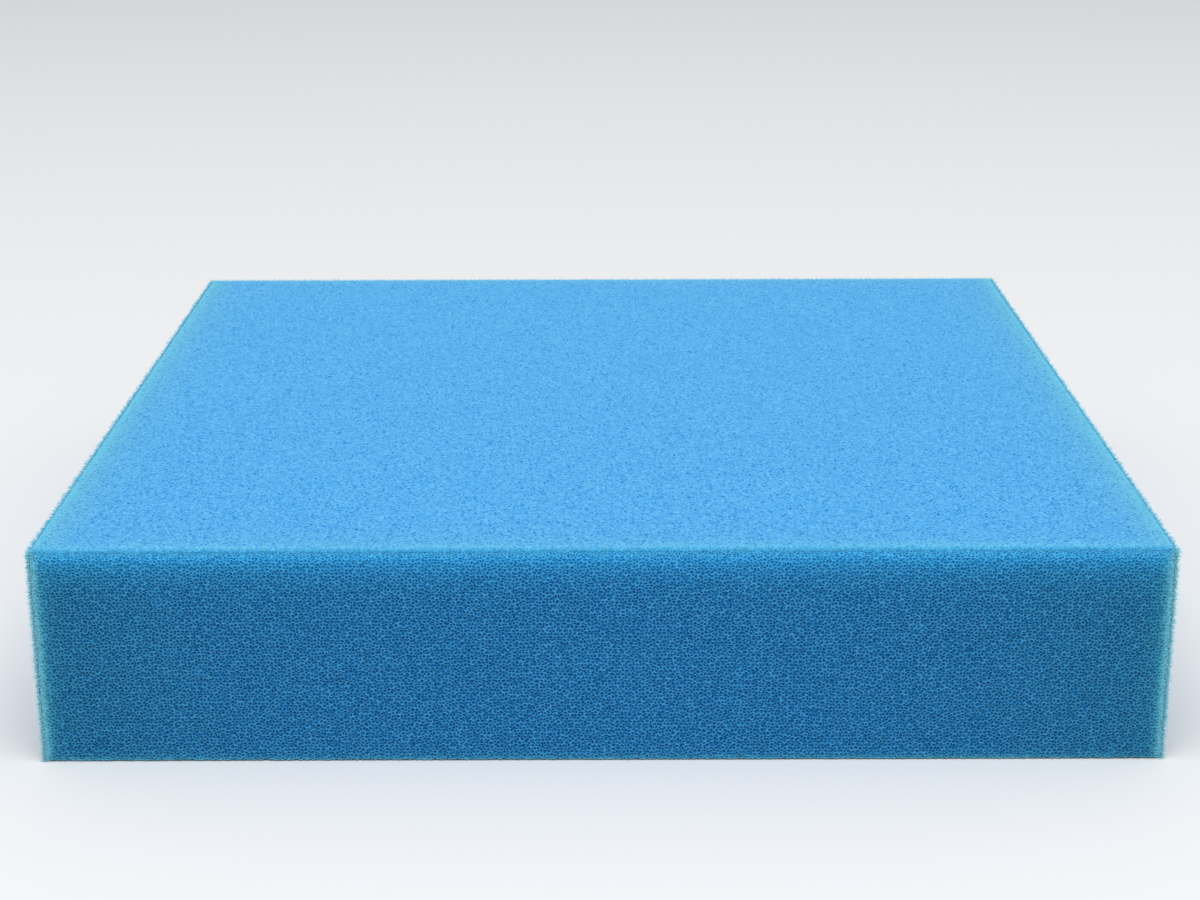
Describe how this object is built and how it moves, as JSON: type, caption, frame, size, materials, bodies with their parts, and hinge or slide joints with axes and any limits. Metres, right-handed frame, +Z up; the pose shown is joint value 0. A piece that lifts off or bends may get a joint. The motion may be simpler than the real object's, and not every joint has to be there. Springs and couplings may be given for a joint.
{
  "type": "pond filter foam block",
  "caption": "Square open-cell foam block that strains solids and carries bacteria in a pond or aquarium filter; lies flat on its largest face.",
  "frame": {"origin": "centre of the underside, the large face the block rests on", "axes": "+Z up through the thickness, +X along the width, +Y along the depth"},
  "size_m": [0.5, 0.5, 0.1],
  "materials": {
    "filter_foam": "matte"
  },
  "bodies": {
    "root": {"foam_block": "filter_foam"}
  },
  "joints": []
}
